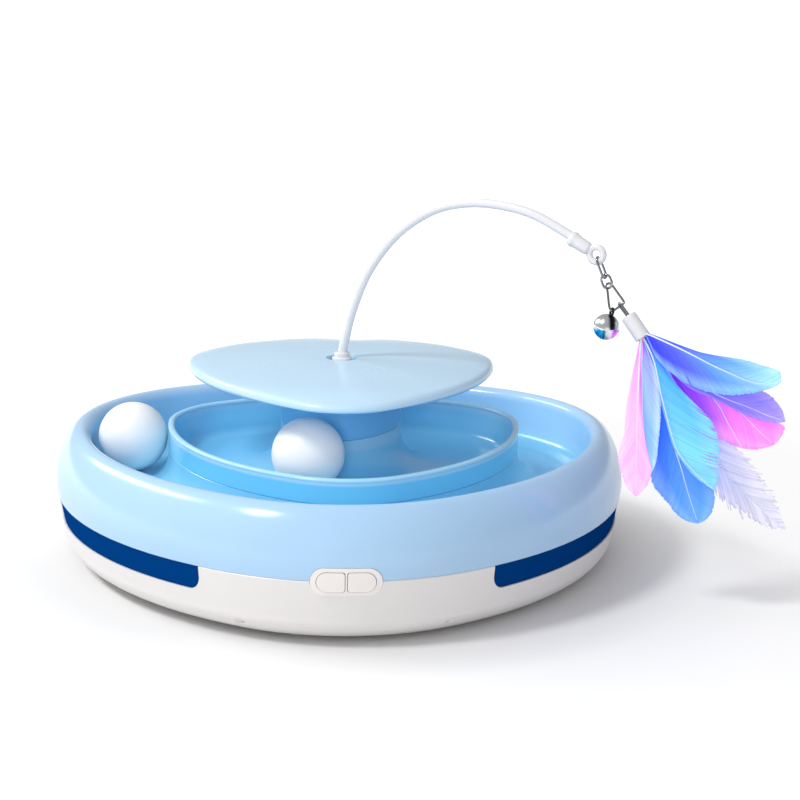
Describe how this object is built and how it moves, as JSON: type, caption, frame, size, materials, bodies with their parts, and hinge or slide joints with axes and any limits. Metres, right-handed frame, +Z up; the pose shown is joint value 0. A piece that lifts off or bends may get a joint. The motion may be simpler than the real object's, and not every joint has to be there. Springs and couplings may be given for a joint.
{
  "type": "automatic cat toy",
  "caption": "Tiered ball track on a rounded-triangle base, with a turning wire arm that dangles a bell and a bunch of feathers over it.",
  "frame": {"origin": "centre of the base shell's flat underside", "axes": "+Z up, -Y towards the corner with the two buttons, +X to the right when facing that corner"},
  "size_m": [0.3073, 0.2551, 0.1654],
  "materials": {
    "blue_shell": "gloss",
    "pale_blue_plate": "gloss",
    "white_shell": "satin",
    "navy_band": "gloss",
    "ball_white": "gloss",
    "wire_white": "gloss",
    "chain_chrome": "polished",
    "steel": "plain",
    "brass": "plain",
    "dark_plastic": "matte",
    "foot_rubber": "matte",
    "board_green": "matte",
    "feather_pink": "soft",
    "feather_pale": "soft",
    "feather_blue": "soft",
    "feather_cyan": "soft",
    "feather_sky": "soft",
    "feather_violet": "soft",
    "feather_magenta": "soft",
    "feather_lilac": "soft"
  },
  "bodies": {
    "base": {"lower_shell": "white_shell", "slot_liner_right": "navy_band", "slot_liner_rear": "navy_band", "slot_liner_left": "navy_band", "foot_front": "foot_rubber", "foot_right": "foot_rubber", "foot_left": "foot_rubber", "base_screw_front": "steel", "base_screw_right": "steel", "base_screw_left": "steel", "track_shell": "blue_shell", "tray": "blue_shell", "tray_screw_front": "steel", "tray_screw_right": "steel", "tray_screw_left": "steel", "top_plate": "pale_blue_plate", "shaft_bush": "brass", "button_bezel": "white_shell", "motor_bracket": "steel", "bracket_screw_front": "steel", "bracket_screw_right": "steel", "bracket_screw_left": "steel", "gearbox": "dark_plastic", "gearbox_screw_left": "steel", "gearbox_screw_right": "steel", "motor_can": "steel", "battery": "dark_plastic", "battery_cradle": "dark_plastic", "circuit_board": "board_green", "switch_left": "dark_plastic", "switch_right": "dark_plastic", "charge_board": "board_green", "charge_socket": "steel"},
    "button_left": {"button_left": "white_shell"},
    "button_right": {"button_right": "white_shell"},
    "outer_ball": {"outer_ball": "ball_white"},
    "inner_ball": {"inner_ball": "ball_white"},
    "teaser": {"drive_shaft": "steel", "wire_hub": "wire_white", "teaser_wire": "wire_white", "wire_socket": "wire_white"},
    "link_one": {"link_one": "chain_chrome"},
    "link_two": {"link_two": "chain_chrome"},
    "clasp": {"clasp": "chain_chrome"},
    "bell": {"bell": "chain_chrome", "bell_clapper": "steel"},
    "feather_bunch": {"ferrule": "wire_white", "feather_pink": "feather_pink", "feather_pale": "feather_pale", "feather_blue": "feather_blue", "feather_cyan": "feather_cyan", "feather_sky": "feather_sky", "feather_violet": "feather_violet", "feather_magenta": "feather_magenta", "feather_lilac": "feather_lilac"}
  },
  "joints": [
    {"name": "button_left_press", "type": "slide", "parent": "base", "child": "button_left", "axis": [0, 1, 0], "range_m": [0, 0.0008], "stiffness_N_per_m": 300},
    {"name": "button_right_press", "type": "slide", "parent": "base", "child": "button_right", "axis": [0, 1, 0], "range_m": [0, 0.0008], "stiffness_N_per_m": 300},
    {"name": "outer_ball_roll", "type": "hinge", "parent": "base", "child": "outer_ball", "pos_m": [0.03568, 0.0206, 0.048], "axis": [0, 0, 1], "range_deg": [0, 60]},
    {"name": "inner_ball_roll", "type": "hinge", "parent": "base", "child": "inner_ball", "pos_m": [0, 0, 0.0563], "axis": [0, 0, 1], "continuous": true},
    {"name": "teaser_spin", "type": "hinge", "parent": "base", "child": "teaser", "pos_m": [0, 0, 0.085], "axis": [0, 0, 1], "continuous": true},
    {"name": "link_one_swing", "type": "hinge", "parent": "teaser", "child": "link_one", "pos_m": [0.10339, -0.05969, 0.14416], "axis": [0.5, 0.866, 0], "range_deg": [-30, 12]},
    {"name": "link_two_swing", "type": "hinge", "parent": "link_one", "child": "link_two", "pos_m": [0.10669, -0.0616, 0.13584], "axis": [0.7871, -0.4545, 0.417], "range_deg": [-25, 25]},
    {"name": "clasp_swing", "type": "hinge", "parent": "link_two", "child": "clasp", "pos_m": [0.10785, -0.06227, 0.13293], "axis": [-0.5, -0.866, 0], "range_deg": [-12, 20]},
    {"name": "bell_swing", "type": "hinge", "parent": "clasp", "child": "bell", "pos_m": [0.10945, -0.06705, 0.12305], "axis": [-0.8165, -0.301, -0.4927], "range_deg": [-25, 25]},
    {"name": "bunch_swing", "type": "hinge", "parent": "clasp", "child": "feather_bunch", "pos_m": [0.11219, -0.06539, 0.12602], "axis": [-0.5, -0.866, 0], "range_deg": [-8, 25]}
  ]
}
